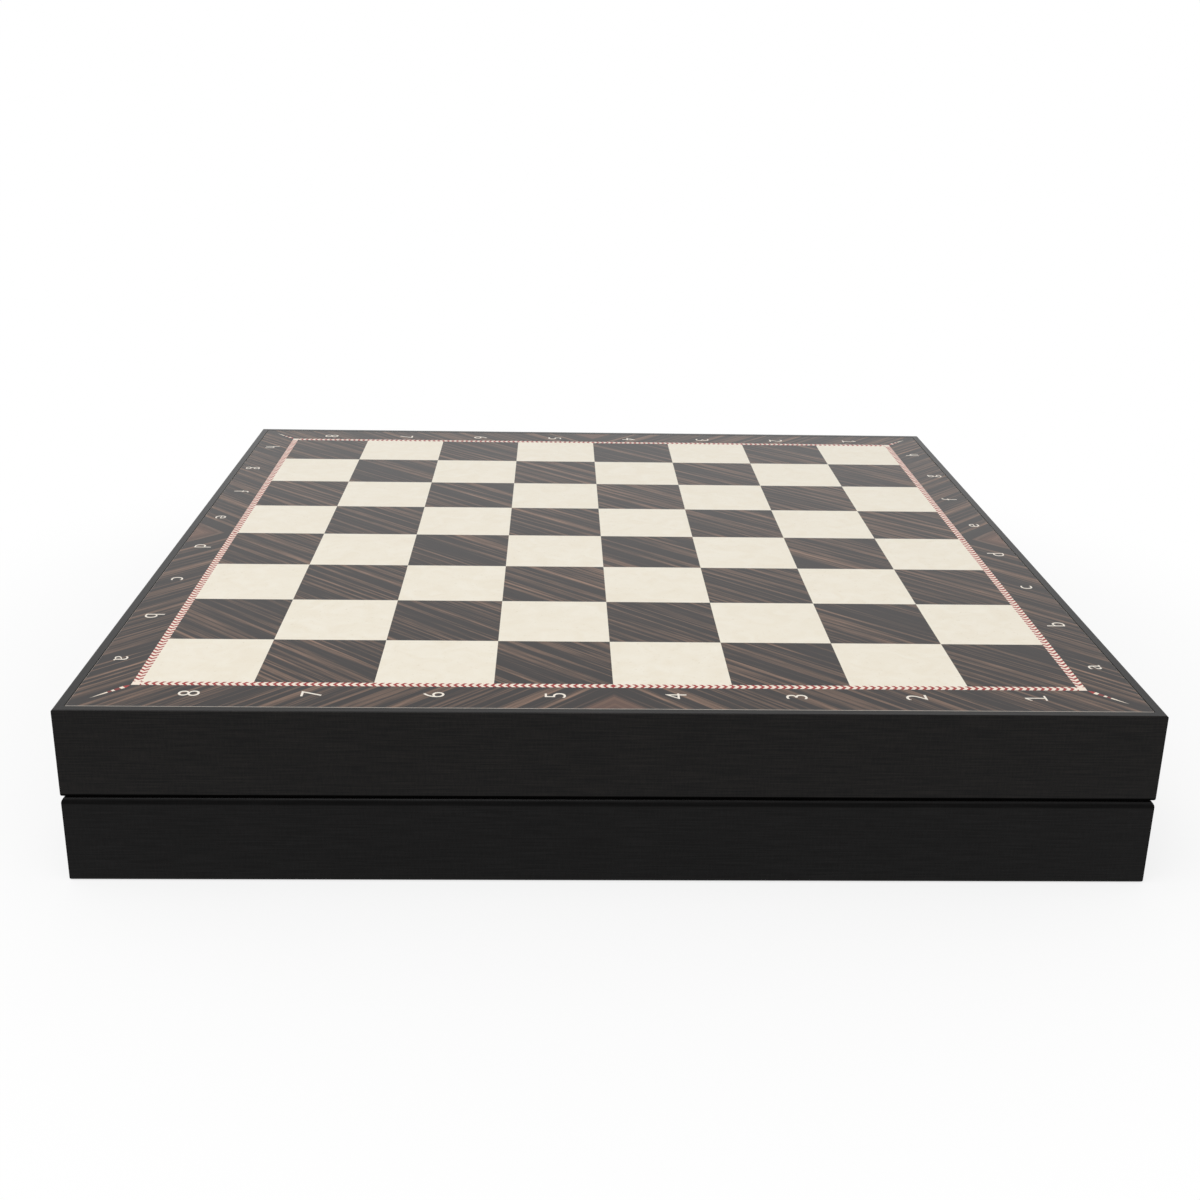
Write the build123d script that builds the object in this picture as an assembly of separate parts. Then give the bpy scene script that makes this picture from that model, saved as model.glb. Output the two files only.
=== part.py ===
from build123d import *
import os

# Chess storage case, closed and lying flat on its base.
# Two equal trays of mitred, foil-wrapped walls are hinged along one side. The lid's outside is an inlaid board.
# +X is the latch side, -X the hinge side, -Y the a-file side, +Y the h-file side, +Z up. All sizes are millimetres.
# The origin is the middle of the case, on the surface that it stands on.

# Board
field_side = 320.0
squares_per_side = 8
stringing_width = 2.8
border_width = 16.4
veneer_thickness = 0.6
core_thickness = 3.4
panel_groove = 0.4
dart_length = 14.8
dart_width = 1.8
dart_shoulder = 2.4

# Walls. The base is rounded more than the lid at the seam, which leaves a dark shadow line below the lid
rim_width = 3.2
wall_thickness = 10.0
base_height = 31.0
lid_height = 31.0
base_seam_round = 2.4
lid_seam_round = 1.0
foot_round = 1.0
rim_round = 0.5

# Floor of the base
floor_thickness = 3.0
floor_rim_width = 5.0
floor_clearance = 0.1

# Fitted tray in the base
tray_sheet_thickness = 2.0
tray_thickness = 17.0
tray_clearance = 0.3
pocket_rail = 14.0
pocket_foot_width = 36.0
pocket_foot_depth = 12.0
pocket_waist_width = 20.0
pocket_head_width = 26.0
short_pocket_length = 56.0
middle_pocket_length = 61.0
long_pocket_length = 72.0
pair_pocket_length = 86.0
pair_pocket_foot_width = 29.0
pair_pocket_foot_depth = 9.0
pair_pocket_waist_width = 17.0
pair_pocket_head_width = 22.0

# Pad in the lid. Its crown starts a little way up the slope of its edge
pad_thickness = 14.0
pad_crown = 1.5
pad_crown_width = 60.0
pad_edge_slope = 4.0
pad_clearance = 0.3

# Hinges
hinge_spacing_share = 7 / 12
leaf_length = 30.0
leaf_width = 7.5
leaf_thickness = 0.8
leaf_clearance = 0.1
knuckle_radius = 2.0
knuckle_count = 3
knuckle_gap = 0.2
hinge_pin_radius = 1.0
hinge_pin_clearance = 0.05

# Latches
latch_spacing_share = 1 / 2
latch_plate_thickness = 0.8
latch_plate_round = 1.5
latch_plate_width = 24.0
latch_plate_height = 12.0
hasp_pivot_rise = 4.0
hasp_barrel_radius = 1.5
hasp_barrel_standoff = 0.1
hasp_knuckle_length = 4.5
hasp_knuckle_gap = 0.2
hasp_pin_radius = 0.75
hasp_pin_clearance = 0.05
hasp_flap_drop = 13.0
hasp_flap_standoff = 0.4
hasp_lip_radius = 2.0
hasp_lip_angle = 65.0
catch_plate_drop = 2.6
catch_nib_width = 5.0
catch_nib_height = 3.0
catch_nib_reach = 2.4
catch_nib_drop = 7.5
catch_nib_round = 0.4
hasp_window_clearance = 0.6

# Screws, as plain shanks that end flush with the plate they hold
screw_radius = 1.1
screw_length = 8.0
screw_clearance = 0.05
hinge_screw_inset = 5.0
latch_screw_inset = 2.5

# Sizes that follow from those above
square = field_side / squares_per_side
panel_side = field_side + 2 * border_width
case_side = panel_side + 2 * (panel_groove + rim_width)
inner_side = case_side - 2 * wall_thickness
seam_level = base_height
case_height = base_height + lid_height
board_thickness = core_thickness + veneer_thickness
veneer_level = case_height - veneer_thickness
lid_ceiling = case_height - board_thickness
tray_sheet_level = floor_thickness
tray_level = tray_sheet_level + tray_sheet_thickness
tray_side = inner_side - 2 * tray_clearance
pocket_pitch = inner_side / squares_per_side
pair_row_width = pair_pocket_length + 2 * pocket_rail
hinge_spacing = hinge_spacing_share * case_side
hinge_axis_x = -case_side / 2 - knuckle_radius
knuckle_pitch = (leaf_length + knuckle_gap) / knuckle_count
hinge_screw_pitch = leaf_length - 2 * hinge_screw_inset
latch_spacing = latch_spacing_share * case_side
latch_screw_pitch = latch_plate_width - 2 * latch_screw_inset
hasp_axis_x = hasp_barrel_standoff + hasp_barrel_radius
hasp_flap_width = latch_plate_width - 2 * (hasp_knuckle_length + hasp_knuckle_gap)
hasp_plate_level = hasp_pivot_rise + hasp_barrel_radius + hasp_knuckle_gap
hasp_plate_middle = hasp_plate_level + latch_plate_height / 2
catch_plate_level = -catch_plate_drop - latch_plate_height
catch_plate_middle = catch_plate_level + latch_plate_height / 2

# Each side of the case and the angle at which its wall lies, counted from +X
wall_angles = {"latch_side": 0, "h_side": 90, "hinge_side": 180, "a_side": 270}

# Where the two ends of the case get a hinge or a latch, by the name of the nearer side
end_signs = {"a": -1, "h": 1}

standing = (Align.CENTER, Align.CENTER, Align.MIN)
hanging = (Align.CENTER, Align.CENTER, Align.MAX)


def slab(side, thickness, level):
    """Square slab centred on the case, with its underside at the given level."""
    return Pos(0, 0, level) * Box(side, side, thickness, align=standing)


def frame_slab(outer_side, inner_width, thickness, level):
    """Square frame of the given width, with its underside at the given level."""
    return slab(outer_side, thickness, level) - slab(outer_side - 2 * inner_width, thickness, level)


def rod_along_y(radius, length):
    """Round bar on the Y axis, centred on the origin."""
    return Rot(90, 0, 0) * Cylinder(radius, length)


def side_wedge(angle):
    """Wedge out from the middle of the case that holds one side, so that neighbours meet in a mitre."""
    outline = Polygon((0, 0), (case_side, -case_side), (case_side, case_side), align=None)
    return Rot(0, 0, angle) * extrude(outline, case_height, dir=(0, 0, 1))


def half_side_wedge(angle, sign):
    """Half of a side's wedge, from the middle of the side to one of its corners."""
    outline = Polygon((0, 0), (case_side, 0), (case_side, sign * case_side), align=None)
    return Rot(0, 0, angle) * extrude(outline, case_height, dir=(0, 0, 1))


def screw(clearance):
    """Screw that points down from its head's face at the origin, or its hole, larger by the clearance."""
    return Cylinder(screw_radius + clearance, screw_length + clearance, align=hanging)


def half_walls(height, seam_round, outer_round, rebate_side, rebate_depth):
    """The four walls of one half by side, mitred and standing on their outer edge, with the seam edge on top."""
    bar = Box(wall_thickness, case_side, height, align=(Align.MAX, Align.CENTER, Align.MIN))
    outer_edges = bar.edges().filter_by(Axis.Y).group_by(Axis.X)[-1]
    bar = fillet(outer_edges.sort_by(Axis.Z)[-1], seam_round)
    outer_edges = bar.edges().filter_by(Axis.Y).group_by(Axis.X)[-1]
    bar = fillet(outer_edges.sort_by(Axis.Z)[0], outer_round)
    wall = (Pos(case_side / 2, 0, 0) * bar - slab(rebate_side, rebate_depth, 0)) & side_wedge(0)
    return {side: Rot(0, 0, angle) * wall for side, angle in wall_angles.items()}


def hinge_places():
    """The middle of each hinge's pin, by the name of its end."""
    return {end: Pos(hinge_axis_x, sign * hinge_spacing / 2, seam_level) for end, sign in end_signs.items()}


def hinge_screw_places():
    """Screw places of a base leaf, counted from the middle of the pin."""
    rows = [-hinge_screw_pitch / 2, hinge_screw_pitch / 2]
    return [Pos(knuckle_radius + leaf_width / 2, row, 0) for row in rows]


def leaf_mortise():
    """Recess for a base leaf in the seam edge, with its screw holes, counted from the middle of the pin."""
    width = knuckle_radius + leaf_width + leaf_clearance
    length = leaf_length + 2 * leaf_clearance
    mortise = Box(width, length, leaf_thickness, align=(Align.MIN, Align.CENTER, Align.MAX))
    for place in hinge_screw_places():
        mortise += place * screw(screw_clearance)
    return mortise


def latch_places():
    """Each latch's middle, on the outer face of the walls at the seam, by the name of its end."""
    return {end: Pos(case_side / 2, sign * latch_spacing / 2, seam_level) for end, sign in end_signs.items()}


def latch_screw_places(level):
    """Screw places on the outer face of a latch plate whose middle is at the given height above the seam."""
    rows = [-latch_screw_pitch / 2, latch_screw_pitch / 2]
    return [Pos(latch_plate_thickness, row, level) * Rot(0, 90, 0) for row in rows]


def base_walls():
    """Walls of the base by side, with the floor's rebate, the hinge mortises and the screw holes."""
    rebate_side = case_side - 2 * floor_rim_width
    walls = half_walls(base_height, base_seam_round, foot_round, rebate_side, floor_thickness)
    for place in hinge_places().values():
        walls["hinge_side"] -= place * leaf_mortise()
    for place in latch_places().values():
        for screw_place in latch_screw_places(catch_plate_middle):
            walls["latch_side"] -= place * screw_place * screw(screw_clearance)
    return walls


def lid_walls():
    """Walls of the lid by side, turned over, with the board's rebate, the hinge mortises and the screw holes."""
    rebate_side = panel_side + 2 * panel_groove
    upturned = half_walls(lid_height, lid_seam_round, rim_round, rebate_side, board_thickness)
    walls = {side: Pos(0, 0, case_height) * mirror(wall, about=Plane.XY) for side, wall in upturned.items()}
    for place in hinge_places().values():
        walls["hinge_side"] -= place * mirror(leaf_mortise(), about=Plane.XY)
    for place in latch_places().values():
        for screw_place in latch_screw_places(hasp_plate_middle):
            walls["latch_side"] -= place * screw_place * screw(screw_clearance)
    return walls


def square_span(index):
    """Low and high edge of one row of squares, short of the stringing in the outermost rows."""
    low = index * square - field_side / 2
    limit = field_side / 2 - stringing_width
    return max(low, -limit), min(low + square, limit)


def veneer_squares(colour):
    """The 32 squares of one colour, 0 for the light ones and 1 for the dark ones. The a8 corner is light."""
    tiles = []
    for column in range(squares_per_side):
        for row in range(squares_per_side):
            if (column + row) % 2 != colour:
                continue
            left, right = square_span(column)
            near, far = square_span(row)
            tile = Box(right - left, far - near, veneer_thickness, align=standing)
            tiles.append(Pos((left + right) / 2, (near + far) / 2, veneer_level) * tile)
    return tiles


def corner_darts():
    """Slim inlaid kites that run out from the field's corners across the border."""
    outline = Polygon(
        (0, 0), (dart_shoulder, dart_width / 2), (dart_length, 0), (dart_shoulder, -dart_width / 2), align=None
    )
    root = Pos(field_side / 2, field_side / 2, veneer_level) * Rot(0, 0, 45)
    dart = root * extrude(outline, veneer_thickness, dir=(0, 0, 1))
    return [Rot(0, 0, angle) * dart for angle in wall_angles.values()]


def border_strips():
    """Border veneer, mitred at the corners and jointed at the middle of each side."""
    border = frame_slab(panel_side, border_width, veneer_thickness, veneer_level)
    for dart in corner_darts():
        border -= dart
    return [border & half_side_wedge(angle, sign) for angle in wall_angles.values() for sign in (-1, 1)]


def stringing_strips():
    """Band of stringing round the field, mitred at the corners."""
    band = frame_slab(field_side, stringing_width, veneer_thickness, veneer_level)
    return [band & side_wedge(angle) for angle in wall_angles.values()]


def pocket(length, foot_width, foot_depth, waist_width, head_width):
    """Cutter for a recess that lies along +X, with its foot at the origin and a round head at its far end."""
    foot = Pos(foot_depth / 2, 0) * Rectangle(foot_depth, foot_width)
    head_middle = length - head_width / 2
    waist = Pos(head_middle / 2, 0) * Rectangle(head_middle, waist_width)
    head = Pos(head_middle, 0) * Circle(head_width / 2)
    return extrude(foot + waist + head, tray_thickness)


def pair_pocket(length, foot_width, foot_depth, waist_width, head_width):
    """Cutter for a recess along X that takes two head to head, with a foot at each end and the heads in the middle."""
    feet = [Pos(side * (length - foot_depth) / 2, 0) * Rectangle(foot_depth, foot_width) for side in (-1, 1)]
    waist = Rectangle(length - foot_depth, waist_width)
    heads = SlotOverall(2 * head_width, head_width)
    return extrude(feet[0] + feet[1] + waist + heads, tray_thickness)


def row_places():
    """Middle of each pocket across the rows."""
    return [(row - (squares_per_side - 1) / 2) * pocket_pitch for row in range(squares_per_side)]


def end_row_lengths():
    """Pocket lengths along an end row: the longest two lie side by side at its middle."""
    half = [short_pocket_length] * (squares_per_side // 2 - 1)
    return half + [middle_pocket_length, long_pocket_length] + half


def end_row_tray(sign):
    """Tray block beside the latch side (1) or the hinge side (-1), with one pocket for each lying piece."""
    inner_edge = pair_row_width / 2 + tray_clearance
    width = tray_side / 2 - inner_edge
    block = Pos(inner_edge, 0, 0) * Box(width, tray_side, tray_thickness, align=(Align.MIN, Align.CENTER, Align.MIN))
    for row, length in zip(row_places(), end_row_lengths()):
        cutter = pocket(length, pocket_foot_width, pocket_foot_depth, pocket_waist_width, pocket_head_width)
        block -= Pos(inner_side / 2 - pocket_rail, row, 0) * Rot(0, 0, 180) * cutter
    if sign < 0:
        block = mirror(block, about=Plane.YZ)
    return Pos(0, 0, tray_level) * block


def pair_row_tray():
    """Middle tray block, whose pockets each take two small pieces head to head."""
    block = Box(pair_row_width, tray_side, tray_thickness, align=standing)
    cutter = pair_pocket(
        pair_pocket_length,
        pair_pocket_foot_width,
        pair_pocket_foot_depth,
        pair_pocket_waist_width,
        pair_pocket_head_width,
    )
    for row in row_places():
        block -= Pos(0, row, 0) * cutter
    return Pos(0, 0, tray_level) * block


def lid_pad():
    """Upholstered pad on the lid's ceiling, crowned towards the tray and drawn in at its edges."""
    pad = slab(inner_side - 2 * pad_clearance, pad_thickness, lid_ceiling - pad_clearance - pad_thickness)
    pad = chamfer(pad.faces().sort_by(Axis.Z)[0].edges(), pad_edge_slope)
    brim = pad.faces().sort_by(Axis.Z)[0]
    return chamfer(brim.edges(), pad_crown_width, pad_crown, reference=brim)


def knuckles(numbers, radius, length):
    """Barrel knuckles of a hinge leaf, each with the web that joins it to the leaf below the pin."""
    solids = []
    for number in numbers:
        place = Pos(0, (number - (knuckle_count - 1) / 2) * knuckle_pitch, 0)
        web = Box(2 * radius, length, leaf_thickness, align=(Align.MIN, Align.CENTER, Align.MAX))
        solids.append(place * (rod_along_y(radius, length) + web))
    return solids


def base_leaf(numbers):
    """Hinge leaf that lies below the seam, with the numbered knuckles, counted from the middle of the pin."""
    plate = Box(leaf_width, leaf_length, leaf_thickness, align=(Align.MIN, Align.CENTER, Align.MAX))
    leaf = Pos(knuckle_radius, 0, 0) * plate
    for knuckle in knuckles(numbers, knuckle_radius, knuckle_pitch - knuckle_gap):
        leaf += knuckle
    leaf -= rod_along_y(hinge_pin_radius + hinge_pin_clearance, 2 * leaf_length)
    for place in hinge_screw_places():
        leaf -= place * screw(screw_clearance)
    return leaf


def hinge_pin():
    """Pin of a hinge, as long as its barrel."""
    return rod_along_y(hinge_pin_radius, leaf_length)


def latch_plate(level):
    """Thin plate with rounded corners on the wall's outer face, its lower edge at the given height above the seam."""
    outline = RectangleRounded(latch_plate_width, latch_plate_height, latch_plate_round)
    place = Pos(0, 0, level + latch_plate_height / 2)
    return place * extrude(Plane.YZ * outline, latch_plate_thickness)


def hasp_plate():
    """Plate on the lid with a knuckle at each end of its lower edge for the hasp's pin."""
    plate = latch_plate(hasp_plate_level)
    web_height = hasp_plate_level + latch_plate_round - hasp_pivot_rise
    for sign in end_signs.values():
        place = Pos(0, sign * (latch_plate_width - hasp_knuckle_length) / 2, hasp_pivot_rise)
        plate += place * Pos(hasp_axis_x, 0, 0) * rod_along_y(hasp_barrel_radius, hasp_knuckle_length)
        plate += place * Box(
            latch_plate_thickness, hasp_knuckle_length, web_height, align=(Align.MIN, Align.CENTER, Align.MIN)
        )
        plate += place * Box(
            hasp_axis_x, hasp_knuckle_length, hasp_barrel_radius, align=(Align.MIN, Align.CENTER, Align.MIN)
        )
    axis = Pos(hasp_axis_x, 0, hasp_pivot_rise)
    plate -= axis * rod_along_y(hasp_pin_radius + hasp_pin_clearance, 2 * latch_plate_width)
    for place in latch_screw_places(hasp_plate_middle):
        plate -= place * screw(screw_clearance)
    return plate


def hasp_flap():
    """Flap that hangs from the pin over the seam, with a window for the nib and a lip to lift it by."""
    middle = latch_plate_thickness * 1.5 + hasp_flap_standoff
    back = Line((middle, hasp_pivot_rise), (middle, -hasp_flap_drop + hasp_lip_radius))
    lip = JernArc(back @ 1, back % 1, hasp_lip_radius, hasp_lip_angle)
    profile = trace(back + lip, latch_plate_thickness)
    flap = extrude(Plane.XZ * profile, hasp_flap_width / 2, both=True)
    axis = Pos(hasp_axis_x, 0, hasp_pivot_rise)
    flap += axis * rod_along_y(hasp_barrel_radius, hasp_flap_width)
    flap -= axis * rod_along_y(hasp_pin_radius + hasp_pin_clearance, 2 * hasp_flap_width)
    window_width = catch_nib_width + 2 * hasp_window_clearance
    window_height = catch_nib_height + 2 * hasp_window_clearance
    return flap - Pos(middle, 0, -catch_nib_drop) * Box(2 * latch_plate_thickness, window_width, window_height)


def catch_plate():
    """Plate on the base with a nib, sloped on top, that stands out through the flap's window."""
    plate = latch_plate(catch_plate_level)
    foot = latch_plate_thickness / 2
    tip = latch_plate_thickness + catch_nib_reach
    low = -catch_nib_drop - catch_nib_height / 2
    high = -catch_nib_drop + catch_nib_height / 2
    outline = Polygon((foot, low), (tip, low), (tip, -catch_nib_drop), (foot, high), align=None)
    outline = fillet(outline.vertices().group_by(Axis.X)[-1], catch_nib_round)
    plate += extrude(Plane.XZ * outline, catch_nib_width / 2, both=True)
    for place in latch_screw_places(catch_plate_middle):
        plate -= place * screw(screw_clearance)
    return plate


def hasp_pin():
    """Pin of a hasp, as long as its barrel."""
    return Pos(hasp_axis_x, 0, hasp_pivot_rise) * rod_along_y(hasp_pin_radius, latch_plate_width)


def base_parts():
    """Every piece of the base, by node name."""
    parts = {"base_wall_" + side: wall for side, wall in base_walls().items()}
    floor_side = case_side - 2 * (floor_rim_width + floor_clearance)
    parts["base_floor_panel"] = slab(floor_side, floor_thickness, 0)
    parts["tray_base_sheet"] = slab(tray_side, tray_sheet_thickness, tray_sheet_level)
    parts["tray_latch_row"] = end_row_tray(1)
    parts["tray_hinge_row"] = end_row_tray(-1)
    parts["tray_pair_row"] = pair_row_tray()
    return parts


def lid_parts():
    """Every piece of the lid, by node name."""
    parts = {"lid_wall_" + side: wall for side, wall in lid_walls().items()}
    parts["board_core"] = slab(panel_side, core_thickness, lid_ceiling)
    parts["light_squares"] = Compound(veneer_squares(0))
    parts["dark_squares"] = Compound(veneer_squares(1))
    parts["chevron_stringing"] = Compound(stringing_strips())
    parts["border_veneer"] = Compound(border_strips())
    parts["corner_darts"] = Compound(corner_darts())
    parts["lid_pad"] = lid_pad()
    return parts


def hinge_parts():
    """Both hinges, with their pins and screws, by node name."""
    parts = {}
    base_screws = []
    lid_screws = []
    for end, place in hinge_places().items():
        parts["hinge_" + end + "_base_leaf"] = place * base_leaf(range(0, knuckle_count, 2))
        lid_leaf = mirror(base_leaf(range(1, knuckle_count, 2)), about=Plane.XY)
        parts["hinge_" + end + "_lid_leaf"] = place * lid_leaf
        parts["hinge_" + end + "_pin"] = place * hinge_pin()
        for screw_place in hinge_screw_places():
            base_screws.append(place * screw_place * screw(0))
            lid_screws.append(place * mirror(screw_place * screw(0), about=Plane.XY))
    parts["hinge_base_screws"] = Compound(base_screws)
    parts["hinge_lid_screws"] = Compound(lid_screws)
    return parts


def latch_parts():
    """Both latches, with their pins and screws, by node name."""
    parts = {}
    catch_screws = []
    hasp_screws = []
    for end, place in latch_places().items():
        parts["latch_" + end + "_hasp_plate"] = place * hasp_plate()
        parts["latch_" + end + "_hasp_flap"] = place * hasp_flap()
        parts["latch_" + end + "_hasp_pin"] = place * hasp_pin()
        parts["latch_" + end + "_catch_plate"] = place * catch_plate()
        catch_screws += [place * spot * screw(0) for spot in latch_screw_places(catch_plate_middle)]
        hasp_screws += [place * spot * screw(0) for spot in latch_screw_places(hasp_plate_middle)]
    parts["latch_catch_screws"] = Compound(catch_screws)
    parts["latch_hasp_screws"] = Compound(hasp_screws)
    return parts


os.makedirs("parts", exist_ok=True)
for group in (base_parts(), lid_parts(), hinge_parts(), latch_parts()):
    for node, shape in group.items():
        export_step(shape, "parts/" + node + ".step")
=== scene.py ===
import math

import bmesh
import bpy
from mathutils import Matrix, Vector, noise


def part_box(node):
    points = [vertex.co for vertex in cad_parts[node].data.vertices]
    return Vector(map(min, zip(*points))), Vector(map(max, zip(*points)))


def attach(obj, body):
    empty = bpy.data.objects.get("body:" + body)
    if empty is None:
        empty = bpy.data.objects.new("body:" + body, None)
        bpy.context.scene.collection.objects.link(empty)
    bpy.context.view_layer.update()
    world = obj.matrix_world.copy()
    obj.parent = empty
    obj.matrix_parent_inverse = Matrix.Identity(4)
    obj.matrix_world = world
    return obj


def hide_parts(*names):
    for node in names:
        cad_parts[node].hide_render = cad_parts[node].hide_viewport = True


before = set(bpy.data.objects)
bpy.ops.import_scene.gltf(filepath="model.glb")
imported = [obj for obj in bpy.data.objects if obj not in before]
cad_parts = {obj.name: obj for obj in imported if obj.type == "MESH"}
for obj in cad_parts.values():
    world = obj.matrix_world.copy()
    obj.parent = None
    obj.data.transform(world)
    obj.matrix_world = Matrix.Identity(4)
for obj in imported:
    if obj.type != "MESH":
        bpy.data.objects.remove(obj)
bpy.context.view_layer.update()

# Camera
# It stands in front of the a-file side, a little above the lid, as in the photograph.
# Its place, aim, roll and lens were fitted to the corners of the squares and of the case.
camera_place = Vector((-0.0200, -0.6137, 0.2668))
camera_aim = Vector((-0.0026, -0.0306, 0.0620))
camera_roll = math.radians(1.06)
camera_data = bpy.data.cameras.new("photo_camera")
camera_data.sensor_width = 36
camera_data.lens = 44.54
camera_data.shift_x = 0.0029
camera_data.shift_y = -0.0339
camera = bpy.data.objects.new("photo_camera", camera_data)
bpy.context.collection.objects.link(camera)
level_look = (camera_aim - camera_place).to_track_quat("-Z", "Y").to_matrix()
camera.location = camera_place
camera.rotation_euler = (level_look @ Matrix.Rotation(camera_roll, 3, "Z")).to_euler()
bpy.context.scene.camera = camera
bpy.context.scene.view_settings.view_transform = "Standard"


# White studio
# The case stands on a white paper sweep in an even white room, under one large soft lamp.
# The paper keeps a pale shadow of the case; everything round it shows as plain white.
def linear(hex_text):
    """Linear colour, with full opacity, of an sRGB hex value."""
    shares = [int(hex_text[start:start + 2], 16) / 255 for start in (1, 3, 5)]
    return [share / 12.92 if share <= 0.04045 else ((share + 0.055) / 1.055) ** 2.4 for share in shares] + [1]


def add_node(tree, kind, inputs=None, **settings):
    """Adds a node, sets its options, and gives each named or numbered input a value or a link."""
    node = tree.nodes.new("ShaderNode" + kind)
    for name, value in settings.items():
        setattr(node, name, value)
    for name, value in (inputs or {}).items():
        if isinstance(value, bpy.types.NodeSocket):
            tree.links.new(value, node.inputs[name])
        else:
            node.inputs[name].default_value = value
    return node


def new_material(name):
    """Empty material, with its node tree and the place of each point in the case's own frame, in metres."""
    material = bpy.data.materials.new(name)
    material.use_nodes = True
    material.node_tree.nodes.clear()
    place = add_node(material.node_tree, "TexCoord").outputs["Object"]
    return material, material.node_tree, place


def seen_share(tree):
    """1 for rays from the camera, a mirror or glass, which see the background, and 0 for those that light."""
    rays = add_node(tree, "LightPath")
    seen = rays.outputs["Is Camera Ray"]
    for kind_of_ray in ("Is Glossy Ray", "Is Transmission Ray"):
        seen = add_node(tree, "Math", {0: seen, 1: rays.outputs[kind_of_ray]}, operation="MAXIMUM").outputs[0]
    return seen


# Room: seen as plain white, and lit less than that, so that the pale squares don't clip
room_light = 0.6
world = bpy.data.worlds.new("white_room")
world.use_nodes = True
world.node_tree.nodes.clear()
room_level = add_node(
    world.node_tree, "MapRange", {"Value": seen_share(world.node_tree), "To Min": room_light, "To Max": 1.0}
)
room = add_node(
    world.node_tree, "Background", {"Color": linear("#FFFFFF"), "Strength": room_level.outputs[0]}
)
add_node(world.node_tree, "OutputWorld", {"Surface": room.outputs[0]})
bpy.context.scene.world = world

# Lamp: a square softbox over the left front corner
lamp_place = Vector((-0.35, -0.55, 1.6))
lamp_aim = Vector((0, 0, 0.06))
lamp_data = bpy.data.lights.new("softbox", "AREA")
lamp_data.shape = "SQUARE"
lamp_data.size = 1.4
lamp_data.energy = 13
lamp = bpy.data.objects.new("softbox", lamp_data)
bpy.context.collection.objects.link(lamp)
lamp.location = lamp_place
lamp.rotation_euler = (lamp_aim - lamp.location).to_track_quat("-Z", "Y").to_euler()

# Matte paper: part of what the camera sees is a plain white glow, so that the shadow near the case stays
# pale; further out the paper is seen as white alone. It lies a hair below the case, so that from underneath
# the floor panel doesn't flicker through it
paper_reach = 6.0
paper_drop = 0.0002
shadow_reach = 0.22
white_reach = 0.38
glow_near_case = 0.75
corner_sides = ((-1, -1), (1, -1), (1, 1), (-1, 1))
paper, tree, place = new_material("matte_white_paper")
paper_shade = add_node(tree, "BsdfDiffuse", {"Color": linear("#FAFAFA")})
paper_glow = add_node(tree, "Emission", {"Color": linear("#FFFFFF")})
distance = add_node(tree, "VectorMath", {0: place}, operation="LENGTH")
white_share = add_node(
    tree,
    "MapRange",
    {
        "Value": distance.outputs["Value"],
        "From Min": shadow_reach,
        "From Max": white_reach,
        "To Min": glow_near_case,
    },
    interpolation_type="SMOOTHSTEP",
)
glow_share = add_node(tree, "Math", {0: seen_share(tree), 1: white_share.outputs[0]}, operation="MULTIPLY")
paper_mix = add_node(
    tree, "MixShader", {0: glow_share.outputs[0], 1: paper_shade.outputs[0], 2: paper_glow.outputs[0]}
)
add_node(tree, "OutputMaterial", {"Surface": paper_mix.outputs[0]})

sweep_mesh = bpy.data.meshes.new("paper_sweep")
sweep_corners = [(side_x * paper_reach, side_y * paper_reach, -paper_drop) for side_x, side_y in corner_sides]
sweep_mesh.from_pydata(sweep_corners, [], [range(4)])
sweep_mesh.materials.append(paper)
sweep = bpy.data.objects.new("paper_sweep", sweep_mesh)
bpy.context.collection.objects.link(sweep)


# Walls
# Each half of the case is four mitred lengths of fibreboard, wrapped in black foil that is printed
# and embossed with a fine wood grain. The grain runs along each wall.
def dress(node, material):
    """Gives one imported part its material."""
    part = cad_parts[node]
    part.data.materials.clear()
    part.data.materials.append(material)


seam_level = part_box("base_wall_a_side")[1][2]
seam_shade_reach = 0.003
# How much shine and colour the foil keeps, by its height in metres over the seam: painted shade, which turns
# the lid's lower edge dull black and draws a dull dark line under the base's upper edge, where the seam lies
# in shade
seam_shade_profile = {
    -0.003: 1,
    -0.0024: 0.5,
    -0.0014: 0.5,
    -0.001: 1,
    0.0001: 1,
    0.0002: 0.06,
    0.0009: 0.06,
    0.0012: 1,
}


def painted_seam_shade(tree, place):
    """Share of shine and colour that the foil keeps near the seam, where painted shade darkens the seam's
    edges.
    """
    height = add_node(tree, "SeparateXYZ", {0: place})
    seam_shade_place = add_node(
        tree,
        "MapRange",
        {
            "Value": height.outputs["Z"],
            "From Min": seam_level - seam_shade_reach,
            "From Max": seam_level + seam_shade_reach,
        },
    )
    seam_shade = add_node(tree, "ValToRGB", {0: seam_shade_place.outputs[0]})
    seam_shade.color_ramp.elements.remove(seam_shade.color_ramp.elements[1])
    for rise, shine in seam_shade_profile.items():
        share = (rise + seam_shade_reach) / (2 * seam_shade_reach)
        stop = seam_shade.color_ramp.elements[0] if share == 0 else seam_shade.color_ramp.elements.new(share)
        stop.color = (shine, shine, shine, 1)
    return seam_shade.outputs[0]


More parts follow.
